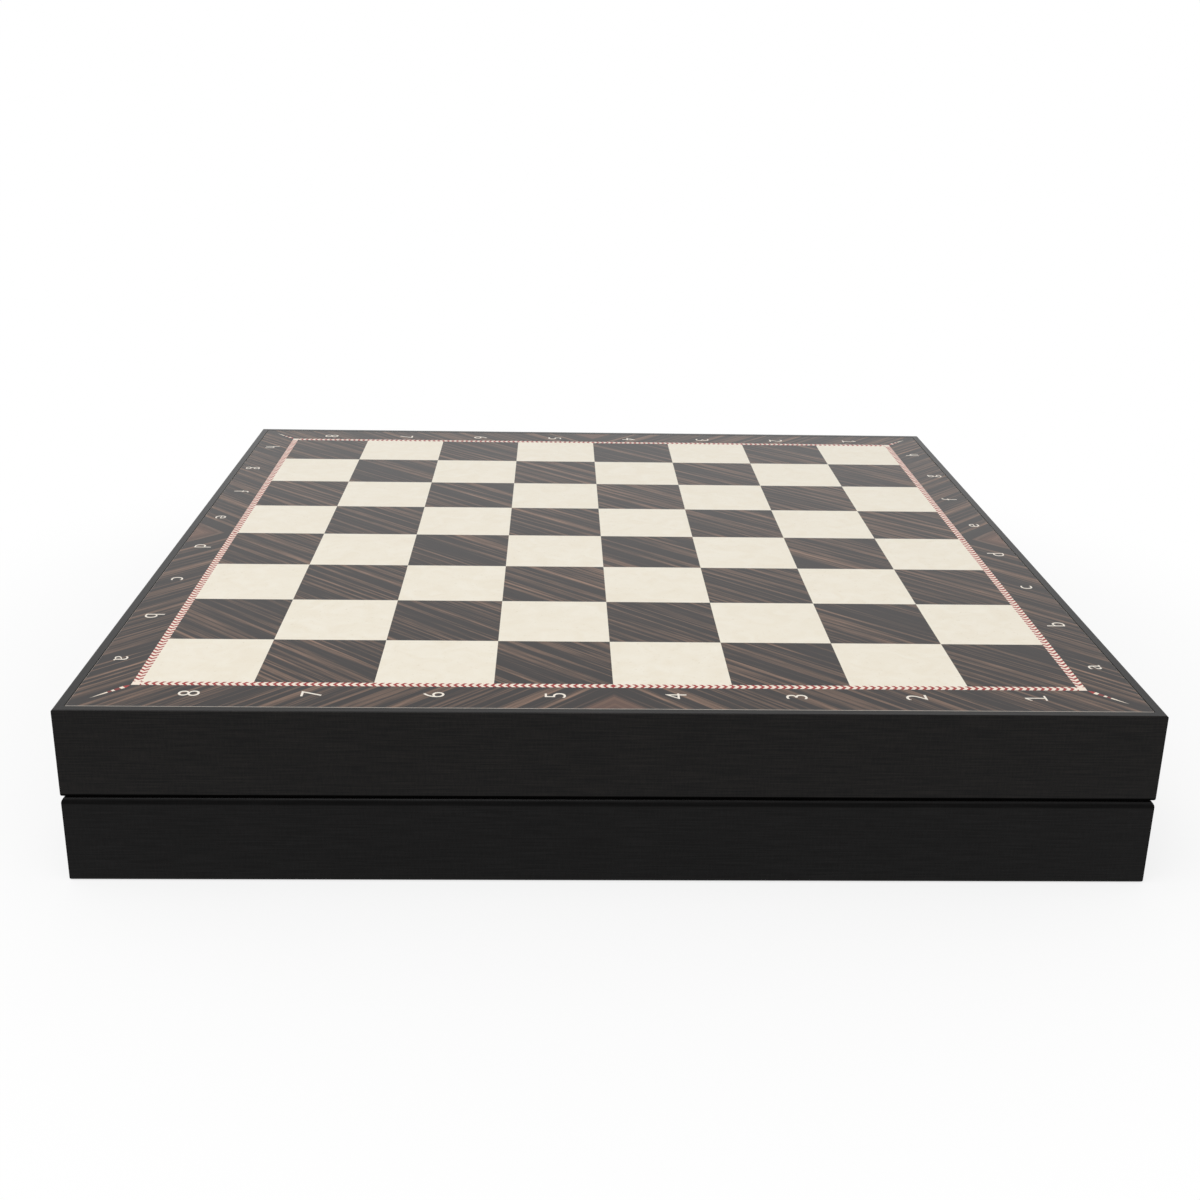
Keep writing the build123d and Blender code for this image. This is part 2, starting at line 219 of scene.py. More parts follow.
def black_foil(name, grain_angle, grain_ink, shine_level):
    """PVC foil, printed black and embossed: satin, near black, with short faint grain in a paler ink."""
    grain_width = 0.0005
    grain_length = 0.016
    pore_width = 0.0006
    pore_height = 0.004
    pore_weight = 0.3
    cloud_size = 0.025
    foil, tree, place = new_material(name)
    grain_place = add_node(
        tree,
        "Mapping",
        {"Vector": place, "Rotation": (0, 0, grain_angle), "Scale": (grain_length, grain_width, grain_width)},
        vector_type="TEXTURE",
    )
    pore_place = add_node(
        tree,
        "Mapping",
        {"Vector": place, "Rotation": (0, 0, grain_angle), "Scale": (pore_width, pore_width, pore_height)},
        vector_type="TEXTURE",
    )
    grain = add_node(tree, "TexNoise", {"Vector": grain_place.outputs[0], "Scale": 1, "Detail": 4})
    pores = add_node(tree, "TexNoise", {"Vector": pore_place.outputs[0], "Scale": 1, "Detail": 2})
    cloud = add_node(tree, "TexNoise", {"Vector": place, "Scale": 1 / cloud_size, "Detail": 2})
    emboss = add_node(
        tree, "Mix", {0: pore_weight, 2: grain.outputs[0], 3: pores.outputs[0]}, data_type="FLOAT"
    )
    ink_share = add_node(tree, "MapRange", {"Value": emboss.outputs[0], "From Min": 0.4, "From Max": 0.64})
    ink = add_node(
        tree, "Mix", {0: ink_share.outputs[0], 6: linear("#070606"), 7: linear(grain_ink)}, data_type="RGBA"
    )
    tint = add_node(
        tree,
        "Mix",
        {0: cloud.outputs[0], 6: ink.outputs[2], 7: linear("#C8C4C4")},
        data_type="RGBA",
        blend_type="MULTIPLY",
    )
    # Painted shade at the seam: the foil's colour and shine are cut down in bands along the seam's edges
    seam_shade = painted_seam_shade(tree, place)
    seam_shaded_tint = add_node(
        tree, "Mix", {0: 1, 6: tint.outputs[2], 7: seam_shade}, data_type="RGBA", blend_type="MULTIPLY"
    )
    shine = add_node(tree, "Math", {0: seam_shade, 1: shine_level}, operation="MULTIPLY")
    roughness = add_node(tree, "MapRange", {"Value": grain.outputs[0], "To Min": 0.14, "To Max": 0.34})
    relief = add_node(tree, "Bump", {"Height": emboss.outputs[0], "Strength": 0.3, "Distance": 0.00008})
    surface = add_node(
        tree,
        "BsdfPrincipled",
        {
            "Base Color": seam_shaded_tint.outputs[2],
            "Roughness": roughness.outputs[0],
            "Specular IOR Level": shine.outputs[0],
            "Normal": relief.outputs[0],
        },
    )
    add_node(tree, "OutputMaterial", {"Surface": surface.outputs[0]})
    return foil


# The lid's foil is given a warmer, paler ink and more shine than the base's: painted shade, as the base's
# walls lie in more shade
for half, grain_ink, shine_level in (("base", "#161515", 0.12), ("lid", "#1C1917", 0.14)):
    foil_name = "black_woodgrain_foil_along_"
    foil_along_x = black_foil(foil_name + "x_" + half, 0, grain_ink, shine_level)
    foil_along_y = black_foil(foil_name + "y_" + half, math.radians(90), grain_ink, shine_level)
    for side in ("a_side", "h_side"):
        dress(half + "_wall_" + side, foil_along_x)
    for side in ("latch_side", "hinge_side"):
        dress(half + "_wall_" + side, foil_along_y)


# Board panel
# A fibreboard panel carries knife-cut veneers, laid edge to edge and flush, under thick clear polyester
# lacquer that was sanded and polished. It lies in the lid's rebate, with a narrow groove round it.
field_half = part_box("chevron_stringing")[1][0]
squares_per_side = 8
square = 2 * field_half / squares_per_side
panel_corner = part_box("border_veneer")[1]
panel_half = panel_corner[0]
panel_top = panel_corner[2]


def lacquered_surface(tree, colour, grain_height=None):
    """Veneer under polished lacquer: a dull coloured ground below a smooth mirror-like coat."""
    inputs = {
        "Base Color": colour,
        "Roughness": 0.5,
        "Specular IOR Level": 0.1,
        "Coat Weight": 0.42,
        "Coat Roughness": 0.03,
        "Coat IOR": 1.4,
    }
    if grain_height is not None:
        relief = add_node(tree, "Bump", {"Height": grain_height, "Strength": 0.2, "Distance": 0.00005})
        inputs["Normal"] = relief.outputs[0]
    surface = add_node(tree, "BsdfPrincipled", inputs)
    add_node(tree, "OutputMaterial", {"Surface": surface.outputs[0]})


def own_part_of_leaf(tree, place):
    """Place on the veneer leaf, moved by chance from square to square, as each is cut from another part."""
    square_corner = add_node(tree, "VectorMath", {0: place, 1: (square, square, 1)}, operation="SNAP")
    leaf_part = add_node(tree, "TexWhiteNoise", {"Vector": square_corner.outputs[0]})
    cut_place = add_node(tree, "VectorMath", {0: place, 1: leaf_part.outputs["Color"]}, operation="ADD")
    return cut_place.outputs[0]


def striped_grain(tree, place, grain_angle):
    """Colour and height of dark striped veneer whose grain runs at an angle from the X axis."""
    stripe_width = 0.0021
    stripe_length = 0.14
    # The real pores are about 0.2 mm wide; they are drawn at 0.5 mm so that they show
    pore_width = 0.0005
    pore_length = 0.012
    stripe_size = (stripe_length, stripe_width, stripe_width)
    pore_size = (pore_length, pore_width, pore_width)
    stripe_place = add_node(
        tree,
        "Mapping",
        {"Vector": place, "Rotation": (0, 0, grain_angle), "Scale": stripe_size},
        vector_type="TEXTURE",
    )
    pore_place = add_node(
        tree,
        "Mapping",
        {"Vector": place, "Rotation": (0, 0, grain_angle), "Scale": pore_size},
        vector_type="TEXTURE",
    )
    stripes = add_node(
        tree,
        "TexNoise",
        {"Vector": stripe_place.outputs[0], "Scale": 1, "Detail": 5, "Roughness": 0.6, "Distortion": 0.3},
    )
    pores = add_node(tree, "TexNoise", {"Vector": pore_place.outputs[0], "Scale": 1, "Detail": 2})
    stripe_share = add_node(
        tree, "MapRange", {"Value": stripes.outputs[0], "From Min": 0.49, "From Max": 0.7}
    )
    pore_share = add_node(
        tree,
        "MapRange",
        {"Value": pores.outputs[0], "From Min": 0.35, "From Max": 0.65, "To Min": 0.55, "To Max": 0},
    )
    wood = add_node(
        tree,
        "Mix",
        {0: stripe_share.outputs[0], 6: linear("#1E1614"), 7: linear("#94745F")},
        data_type="RGBA",
    )
    grain = add_node(
        tree, "Mix", {0: pore_share.outputs[0], 6: wood.outputs[2], 7: linear("#120B09")}, data_type="RGBA"
    )
    return grain.outputs[2], pores.outputs[0]


# Dark squares: stained striped veneer, every square cut from another part of the leaf, grain all one way
square_grain_angle = math.radians(-42)
dark_veneer, tree, place = new_material("lacquered_striped_veneer_squares")
colour, height = striped_grain(tree, own_part_of_leaf(tree, place), square_grain_angle)
lacquered_surface(tree, colour, height)
dress("dark_squares", dark_veneer)

# Light squares: bleached burr veneer, cream with soft pearly clouds and a few faint flecks
burr_size = 0.009
fleck_size = 0.0012
light_veneer, tree, place = new_material("lacquered_cream_burr_veneer")
cut_place = own_part_of_leaf(tree, place)
burr = add_node(
    tree, "TexNoise", {"Vector": cut_place, "Scale": 1 / burr_size, "Detail": 5, "Distortion": 1.2}
)
flecks = add_node(tree, "TexNoise", {"Vector": cut_place, "Scale": 1 / fleck_size, "Detail": 1})
burr_share = add_node(tree, "MapRange", {"Value": burr.outputs[0], "From Min": 0.3, "From Max": 0.7})
cream = add_node(
    tree, "Mix", {0: burr_share.outputs[0], 6: linear("#EDE4D1"), 7: linear("#F2EBDB")}, data_type="RGBA"
)
fleck_share = add_node(
    tree, "MapRange", {"Value": flecks.outputs[0], "From Min": 0.66, "From Max": 0.8, "To Max": 0.35}
)
flecked = add_node(
    tree, "Mix", {0: fleck_share.outputs[0], 6: cream.outputs[2], 7: linear("#CDBFA4")}, data_type="RGBA"
)
lacquered_surface(tree, flecked.outputs[2])
dress("light_squares", light_veneer)

# Border: the same striped veneer, book-matched at the middle of each side, its grain running out to the
# corners, with a lighter wedge at each middle where the leaves meet
border_grain_angle = math.radians(45)
wedge_start = field_half + 0.0045
wedge_end = field_half + 0.0075
border_veneer, tree, place = new_material("lacquered_striped_veneer_border")
folded = add_node(tree, "VectorMath", {0: place}, operation="ABSOLUTE")
colour, height = striped_grain(tree, folded.outputs[0], border_grain_angle)
folded_parts = add_node(tree, "SeparateXYZ", {0: folded.outputs[0]})
beside_diagonal = add_node(
    tree, "Math", {0: folded_parts.outputs["X"], 1: folded_parts.outputs["Y"]}, operation="SUBTRACT"
)
from_diagonal = add_node(tree, "Math", {0: beside_diagonal.outputs[0]}, operation="ABSOLUTE")
wedge_share = add_node(
    tree,
    "MapRange",
    {"Value": from_diagonal.outputs[0], "From Min": wedge_start, "From Max": wedge_end, "To Max": 0.35},
)
wedged = add_node(tree, "Mix", {0: wedge_share.outputs[0], 6: colour, 7: linear("#85604E")}, data_type="RGBA")
lacquered_surface(tree, wedged.outputs[2], height)
dress("border_veneer", border_veneer)

# Stringing: cream holly inlaid with red-dyed arrowheads, which point from the middle of each side to its
# corners and stop short of the corners
stringing_width = field_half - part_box("light_squares")[1][0]
chevron_pitch = 0.0025
chevron_slope = 0.8
red_share_of_pitch = 0.46
stringing, tree, place = new_material("lacquered_cream_and_red_stringing")
folded = add_node(tree, "VectorMath", {0: place}, operation="ABSOLUTE")
folded_parts = add_node(tree, "SeparateXYZ", {0: folded.outputs[0]})
along = add_node(
    tree, "Math", {0: folded_parts.outputs["X"], 1: folded_parts.outputs["Y"]}, operation="MINIMUM"
)
outward = add_node(
    tree, "Math", {0: folded_parts.outputs["X"], 1: folded_parts.outputs["Y"]}, operation="MAXIMUM"
)
beside_middle = add_node(
    tree, "Math", {0: outward.outputs[0], 1: field_half - stringing_width / 2}, operation="SUBTRACT"
)
across = add_node(tree, "Math", {0: beside_middle.outputs[0]}, operation="ABSOLUTE")
swept = add_node(
    tree, "Math", {0: across.outputs[0], 1: chevron_slope, 2: along.outputs[0]}, operation="MULTIPLY_ADD"
)
pitches = add_node(tree, "Math", {0: swept.outputs[0], 1: chevron_pitch}, operation="DIVIDE")
share_of_pitch = add_node(tree, "Math", {0: pitches.outputs[0]}, operation="FRACT")
in_arrow = add_node(
    tree, "Math", {0: share_of_pitch.outputs[0], 1: red_share_of_pitch}, operation="LESS_THAN"
)
short_of_corner = add_node(
    tree, "Math", {0: along.outputs[0], 1: field_half - stringing_width}, operation="LESS_THAN"
)
red_share = add_node(
    tree, "Math", {0: in_arrow.outputs[0], 1: short_of_corner.outputs[0]}, operation="MULTIPLY"
)
chevrons = add_node(
    tree, "Mix", {0: red_share.outputs[0], 6: linear("#F3E4D4"), 7: linear("#9C1A14")}, data_type="RGBA"
)
lacquered_surface(tree, chevrons.outputs[2])
dress("chevron_stringing", stringing)

# Corner darts: slim kites of red, cream and dark red slips, laid one after another from the field's corner
# outwards. Each slip is given by where it starts, as a share of the dart's length
dart_length = (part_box("corner_darts")[1][0] - field_half) * math.sqrt(2)
dart_root = field_half * math.sqrt(2)
dart_slips = {
    0: "#A5241D",
    0.17: "#F0E2CF",
    0.26: "#7A2620",
    0.4: "#F0E2CF",
    0.47: "#7A2620",
    0.57: "#F0E2CF",
}
diagonal = (math.sqrt(0.5), math.sqrt(0.5), 0)
dart_inlay, tree, place = new_material("lacquered_dart_slips")
folded = add_node(tree, "VectorMath", {0: place}, operation="ABSOLUTE")
outward = add_node(tree, "VectorMath", {0: folded.outputs[0], 1: diagonal}, operation="DOT_PRODUCT")
dart_share = add_node(
    tree,
    "MapRange",
    {"Value": outward.outputs["Value"], "From Min": dart_root, "From Max": dart_root + dart_length},
)
slips = add_node(tree, "ValToRGB", {0: dart_share.outputs[0]})
slips.color_ramp.interpolation = "CONSTANT"
slips.color_ramp.elements.remove(slips.color_ramp.elements[1])
for share, slip_colour in dart_slips.items():
    slip = slips.color_ramp.elements[0] if share == 0 else slips.color_ramp.elements.new(share)
    slip.color = linear(slip_colour)
lacquered_surface(tree, slips.outputs[0])
dress("corner_darts", dart_inlay)

# Core: medium-density fibreboard, brown and evenly speckled, seen only in the groove and round the pad
fibre_size = 0.0009
fibreboard, tree, place = new_material("raw_fibreboard")
fibres = add_node(tree, "TexNoise", {"Vector": place, "Scale": 1 / fibre_size, "Detail": 4})
fibre_share = add_node(tree, "MapRange", {"Value": fibres.outputs[0], "From Min": 0.35, "From Max": 0.65})
board_colour = add_node(
    tree, "Mix", {0: fibre_share.outputs[0], 6: linear("#5F4630"), 7: linear("#8A6C4E")}, data_type="RGBA"
)
relief = add_node(tree, "Bump", {"Height": fibres.outputs[0], "Strength": 0.3, "Distance": 0.0001})
surface = add_node(
    tree,
    "BsdfPrincipled",
    {"Base Color": board_colour.outputs[2], "Roughness": 0.75, "Normal": relief.outputs[0]},
)
add_node(tree, "OutputMaterial", {"Surface": surface.outputs[0]})
dress("board_core", fibreboard)

# Rounded lacquer edge: the coat is rounded over at the panel's edge, and its colour is mixed far towards pale
# grey:
# a painted highlight, which glints along the groove
edge_round = 0.0003
edge_glint_share = 0.7
edge_lacquer, tree, place = new_material("lacquer_edge_with_painted_glint")
folded = add_node(tree, "VectorMath", {0: place}, operation="ABSOLUTE")
colour = striped_grain(tree, folded.outputs[0], border_grain_angle)[0]
# Painted highlight: the border's colour mixed towards pale grey
painted_glint_colour = add_node(tree, "Mix", {0: edge_glint_share, 6: colour, 7: linear("#D6CEC4")}, data_type="RGBA")
lacquered_surface(tree, painted_glint_colour.outputs[2])
edge_curve = bpy.data.curves.new("lacquer_edge", "CURVE")
edge_curve.dimensions = "3D"
edge_curve.bevel_depth = edge_round
edge_curve.bevel_resolution = 3
edge_line = edge_curve.splines.new("POLY")
edge_line.points.add(len(corner_sides) - 1)
for point, (side_x, side_y) in zip(edge_line.points, corner_sides):
    point.co = (side_x * panel_half, side_y * panel_half, panel_top - edge_round, 1)
edge_line.use_cyclic_u = True
edge_curve.materials.append(edge_lacquer)
edge = bpy.data.objects.new("lacquer_edge", edge_curve)
bpy.context.collection.objects.link(edge)
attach(edge, "lid")


# Coordinates
# Files a to h and ranks 1 to 8 are let into the border as thin cream strokes, under the same lacquer.
# The near and right ones read upright from the latch side, the far and left ones from the hinge side.
letter_size = 0.0104
condensing = 0.93
letter_thinning = 0.0001
letter_proud = 0.00002
rank_line = 4.16 * square
rank_drop = 0.0041
file_baseline = 4.29 * square
left_file_shift = 0.0021
quarter_turn = math.radians(90)

# Inlay: slips of cream holly, flush in the veneer, with fine faint streaks
streak_width = 0.0004
inlay, tree, place = new_material("lacquered_cream_inlay")
streaks = add_node(tree, "TexNoise", {"Vector": place, "Scale": 1 / streak_width, "Detail": 1})
streak_share = add_node(tree, "MapRange", {"Value": streaks.outputs[0], "From Min": 0.3, "From Max": 0.7})
inlay_colour = add_node(
    tree, "Mix", {0: streak_share.outputs[0], 6: linear("#EADFCF"), 7: linear("#F8F1E6")}, data_type="RGBA"
)
lacquered_surface(tree, inlay_colour.outputs[2])


def typed_strokes(name, letter):
    """A letter or digit of the built-in typeface, thinned, standing on its baseline."""
    strokes = bpy.data.curves.new(name, "FONT")
    strokes.body = letter
    strokes.size = letter_size
    strokes.offset = -letter_thinning
    strokes.align_x = "CENTER"
    strokes.align_y = "BOTTOM_BASELINE"
    return strokes


def digit_one(name):
    """The digit 1 with a flag and a foot, which the built-in typeface doesn't give it."""
    height = 0.7 * letter_size
    reach = 0.27 * height
    stroke = 0.09 * height
    flag_drop = 0.2 * height
    flag_root = 1.3 * stroke
    outline = [(-reach, 0), (reach, 0), (reach, stroke), (stroke / 2, stroke), (stroke / 2, height)]
    outline += [(-stroke / 2, height), (-reach, height - flag_drop), (-reach, height - flag_drop - stroke)]
    outline += [(-stroke / 2, height - flag_root), (-stroke / 2, stroke), (-reach, stroke)]
    strokes = bpy.data.curves.new(name, "CURVE")
    strokes.dimensions = "2D"
    strokes.fill_mode = "BOTH"
    line = strokes.splines.new("POLY")
    line.points.add(len(outline) - 1)
    for point, (x, y) in zip(line.points, outline):
        point.co = (x, y, 0, 1)
    line.use_cyclic_u = True
    return strokes


def inlaid_letter(name, letter, x, y, turn):
    """One letter or digit, with the middle of its baseline on a spot of the border, turned about it."""
    strokes = digit_one(name) if letter == "1" else typed_strokes(name, letter)
    strokes.extrude = letter_proud
    strokes.materials.append(inlay)
    piece = bpy.data.objects.new(name, strokes)
    bpy.context.collection.objects.link(piece)
    piece.location = (x, y, panel_top)
    piece.rotation_euler = (0, 0, turn)
    piece.scale = (condensing, 1, 1)
    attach(piece, "lid")


for row in range(squares_per_side):
    middle = (row - (squares_per_side - 1) / 2) * square
    rank = str(squares_per_side - row)
    file_letter = "abcdefgh"[row]
    left_middle = middle + left_file_shift
    inlaid_letter("near_rank_" + rank, rank, middle + rank_drop, -rank_line, quarter_turn)
    inlaid_letter("far_rank_" + rank, rank, middle - rank_drop, rank_line, -quarter_turn)
    inlaid_letter("left_file_" + file_letter, file_letter, -file_baseline, left_middle, -quarter_turn)
    inlaid_letter("right_file_" + file_letter, file_letter, file_baseline, middle, quarter_turn)


# Floor of the base
# The bottom of the case is one sheet of brown hardboard, pressed from wood fibre and smooth on the outside.
# It is glued into a rebate under the walls.

# Hardboard: dull satin brown, with drifting fibres and dark specks of bark
fibre_size = 0.0016
speck_size = 0.0004
hardboard, tree, place = new_material("smooth_hardboard")
fibres = add_node(
    tree, "TexNoise", {"Vector": place, "Scale": 1 / fibre_size, "Detail": 5, "Distortion": 1.5}
)
specks = add_node(tree, "TexNoise", {"Vector": place, "Scale": 1 / speck_size, "Detail": 1})
fibre_share = add_node(tree, "MapRange", {"Value": fibres.outputs[0], "From Min": 0.3, "From Max": 0.7})
speck_share = add_node(
    tree, "MapRange", {"Value": specks.outputs[0], "From Min": 0.6, "From Max": 0.75, "To Max": 0.6}
)
pulp = add_node(
    tree, "Mix", {0: fibre_share.outputs[0], 6: linear("#54402F"), 7: linear("#73583F")}, data_type="RGBA"
)
board_colour = add_node(
    tree, "Mix", {0: speck_share.outputs[0], 6: pulp.outputs[2], 7: linear("#33261C")}, data_type="RGBA"
)
surface = add_node(tree, "BsdfPrincipled", {"Base Color": board_colour.outputs[2], "Roughness": 0.45})
add_node(tree, "OutputMaterial", {"Surface": surface.outputs[0]})
dress("base_floor_panel", hardboard)


# Fitted tray
# Three moulded blocks with shaped pockets lie side by side on a stiff sheet in the base. The blocks and the
# sheet are flocked in one deep red.

# Flock: short nylon pile shot upright into glue, dull, deep and a little paler at grazing angles. The real
# pile is 0.02 mm thick; it is drawn at 0.35 mm so that it shows
pile_size = 0.00035
stroke_size = 0.02
flock, tree, place = new_material("deep_red_nylon_flock")
pile = add_node(tree, "TexNoise", {"Vector": place, "Scale": 1 / pile_size, "Detail": 2})
strokes = add_node(tree, "TexNoise", {"Vector": place, "Scale": 1 / stroke_size, "Detail": 3})
pile_share = add_node(tree, "MapRange", {"Value": pile.outputs[0], "From Min": 0.3, "From Max": 0.7})
pile_colour = add_node(
    tree, "Mix", {0: pile_share.outputs[0], 6: linear("#3A0A12"), 7: linear("#5E1620")}, data_type="RGBA"
)
stroke_share = add_node(
    tree, "MapRange", {"Value": strokes.outputs[0], "From Min": 0.4, "From Max": 0.7, "To Max": 0.35}
)
flock_colour = add_node(
    tree,
    "Mix",
    {0: stroke_share.outputs[0], 6: pile_colour.outputs[2], 7: linear("#6F2029")},
    data_type="RGBA",
)
relief = add_node(tree, "Bump", {"Height": pile.outputs[0], "Strength": 0.5, "Distance": 0.0002})
surface = add_node(
    tree,
    "BsdfPrincipled",
    {
        "Base Color": flock_colour.outputs[2],
        "Roughness": 0.95,
        "Specular IOR Level": 0.1,
        "Sheen Weight": 0.4,
        "Sheen Roughness": 0.5,
        "Sheen Tint": linear("#B05860"),
        "Normal": relief.outputs[0],
    },
)
add_node(tree, "OutputMaterial", {"Surface": surface.outputs[0]})
for node in ("tray_base_sheet", "tray_latch_row", "tray_hinge_row", "tray_pair_row"):
    dress(node, flock)


# Lid pad
# A sheet of soft foam wrapped in velvet is glued to the lid's ceiling, crowned towards the tray.
# Its edges are turned over and drawn in, so that the sides bow in a little between the corners.

# Velvet: woven with a dense cut pile, deep red, with cloudy strokes where it was brushed and a pale sheen at
# grazing angles. Its pile is finer than the 0.4 mm at which it is drawn so that it shows
pile_size = 0.0004
brushed_size = 0.04
velvet, tree, place = new_material("deep_red_velvet")
pile = add_node(tree, "TexNoise", {"Vector": place, "Scale": 1 / pile_size, "Detail": 2})
brushed = add_node(
    tree, "TexNoise", {"Vector": place, "Scale": 1 / brushed_size, "Detail": 3, "Distortion": 0.8}
)
brushed_share = add_node(tree, "MapRange", {"Value": brushed.outputs[0], "From Min": 0.35, "From Max": 0.7})
velvet_colour = add_node(
    tree, "Mix", {0: brushed_share.outputs[0], 6: linear("#541018"), 7: linear("#621420")}, data_type="RGBA"
)
relief = add_node(tree, "Bump", {"Height": pile.outputs[0], "Strength": 0.35, "Distance": 0.00015})
surface = add_node(
    tree,
    "BsdfPrincipled",
    {
        "Base Color": velvet_colour.outputs[2],
        "Roughness": 0.85,
        "Specular IOR Level": 0.15,
        "Sheen Weight": 0.8,
        "Sheen Roughness": 0.35,
        "Sheen Tint": linear("#C06A72"),
        "Normal": relief.outputs[0],
    },
)
add_node(tree, "OutputMaterial", {"Surface": surface.outputs[0]})

pad_low, pad_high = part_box("lid_pad")
pad_half = pad_high[0]
pad_top = pad_high[2]
pad_thickness = pad_top - pad_low[2]
pad_crown = 0.0022
pad_edge_round = 0.009
pad_draw_in = 0.0012
pad_ripple = 0.0003
pad_ripple_size = 0.045
pad_steps = 64


def pad_depth(x, y, share_x, share_y):
    """How far the pad hangs below its glued face, at a spot and its shares of the way to the pad's sides."""
    depth = pad_thickness - pad_crown * (1 - (1 - share_x**2) * (1 - share_y**2))
    for share in (share_x, share_y):
        from_edge = min(pad_half * (1 - abs(share)) / pad_edge_round, 1)
        depth *= math.sqrt(1 - (1 - from_edge) ** 2)
    ripple = noise.noise(Vector((x, y, 0)) / pad_ripple_size)
    return depth * (1 - pad_ripple / pad_thickness * (1 + ripple))


# The grid's lines crowd towards the pad's sides, where it rounds over
pad_shares = [math.sin(math.radians(90) * (2 * step / pad_steps - 1)) for step in range(pad_steps + 1)]
pad = bmesh.new()
pad_rows = []
for share_x in pad_shares:
    pad_row = []
    for share_y in pad_shares:
        x = share_x * (pad_half - pad_draw_in * (1 - share_y**2))
        y = share_y * (pad_half - pad_draw_in * (1 - share_x**2))
        pad_row.append(pad.verts.new((x, y, pad_top - pad_depth(x, y, share_x, share_y))))
    pad_rows.append(pad_row)
for row, next_row in zip(pad_rows, pad_rows[1:]):
    for corners in zip(row, row[1:], next_row[1:], next_row):
        pad.faces.new(corners)
pad_rim = pad_rows[0] + [row[-1] for row in pad_rows[1:]]
pad_rim += list(reversed(pad_rows[-1]))[1:] + [row[0] for row in reversed(pad_rows[1:-1])]
pad.faces.new(list(reversed(pad_rim)))
bmesh.ops.recalc_face_normals(pad, faces=pad.faces)
for face in pad.faces:
    face.smooth = len(face.verts) == 4
pad_mesh = bpy.data.meshes.new("velvet_pad")
pad.to_mesh(pad_mesh)
pad.free()
pad_mesh.materials.append(velvet)
velvet_pad = bpy.data.objects.new("velvet_pad", pad_mesh)
bpy.context.collection.objects.link(velvet_pad)
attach(velvet_pad, "lid")
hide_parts("lid_pad")


# Hinges and latches
# Both are stamped and rolled from sheet brass, polished and lacquered, and turn on drawn brass pins.
# The hinge leaves lie in mortises in the seam edges, and the latch plates on the outside of the walls.

# Polished brass: a warm mirror, with fine lines from the polishing and faint clouds of tarnish. The real
# lines are hair-thin; they are drawn at 0.3 mm so that they show
polish_width = 0.0003
polish_length = 0.008
tarnish_size = 0.006
edge_break = 0.00015
sharp_edge_angle = math.radians(50)
brass, tree, place = new_material("polished_lacquered_brass")
polish_place = add_node(
    tree,
    "Mapping",
    {"Vector": place, "Scale": (polish_width, polish_length, polish_width)},
    vector_type="TEXTURE",
)
polish = add_node(tree, "TexNoise", {"Vector": polish_place.outputs[0], "Scale": 1, "Detail": 2})
tarnish = add_node(tree, "TexNoise", {"Vector": place, "Scale": 1 / tarnish_size, "Detail": 3})
tarnish_share = add_node(tree, "MapRange", {"Value": tarnish.outputs[0], "From Min": 0.4, "From Max": 0.75})
brass_colour = add_node(
    tree, "Mix", {0: tarnish_share.outputs[0], 6: linear("#D9B569"), 7: linear("#CBA459")}, data_type="RGBA"
)
brass_roughness = add_node(tree, "MapRange", {"Value": polish.outputs[0], "To Min": 0.12, "To Max": 0.34})
surface = add_node(
    tree,
    "BsdfPrincipled",
    {"Base Color": brass_colour.outputs[2], "Metallic": 1, "Roughness": brass_roughness.outputs[0]},
)
add_node(tree, "OutputMaterial", {"Surface": surface.outputs[0]})
for end in ("a", "h"):
    for name in ("_base_leaf", "_lid_leaf", "_pin"):
        dress("hinge_" + end + name, brass)
    for name in ("_hasp_plate", "_hasp_flap", "_hasp_pin", "_catch_plate"):
        dress("latch_" + end + name, brass)
        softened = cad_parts["latch_" + end + name].modifiers.new("broken_edges", "BEVEL")
        softened.width = edge_break
        softened.segments = 2
        softened.limit_method = "ANGLE"
        softened.angle_limit = sharp_edge_angle


# Screws
# Brass wood screws hold each plate: countersunk flush on the hinge leaves, raised on the latch plates.
# Every head has a straight saw-cut slot, whose faces are drawn dark brown: painted shade in the slot.
hinge_screw_spread = 0.010
hinge_head_radius = 0.0019
hinge_head_rise = 0.00003
latch_screw_spread = 0.0095
latch_head_radius = 0.0018
latch_head_rise = 0.0005
for node in ("hinge_base_screws", "hinge_lid_screws", "latch_catch_screws", "latch_hasp_screws"):
    dress(node, brass)

# Slot shade: matt dark brown on the slot's faces, painted shade which draws a dark line across each head
grain_size = 0.0003
slot_painted_shade, tree, place = new_material("painted_shade_in_slots")
slot_shade_noise = add_node(tree, "TexNoise", {"Vector": place, "Scale": 1 / grain_size, "Detail": 1})
slot_shade_colour = add_node(
    tree, "Mix", {0: slot_shade_noise.outputs[0], 6: linear("#2A1D0E"), 7: linear("#4A3518")}, data_type="RGBA"
)
surface = add_node(tree, "BsdfPrincipled", {"Base Color": slot_shade_colour.outputs[2], "Roughness": 0.8})
add_node(tree, "OutputMaterial", {"Surface": surface.outputs[0]})

# A head's grid, in shares of its radius: lines that run along the slot, two of them close together where
# its steep wall stands, and the stations on each line
slot_half_share = 0.16
slot_rim_share = 0.161
slot_depth_share = 0.6
first_slot_angle = math.radians(35)
slot_angle_step = math.radians(67)
half_lines = [slot_half_share, slot_rim_share, 0.3, 0.55, 0.8, 0.98]
head_lines = [-share for share in reversed(half_lines)] + [0] + half_lines
half_stations = [0.3, 0.6, 0.85, 1]
head_stations = [-share for share in reversed(half_stations)] + [0] + half_stations


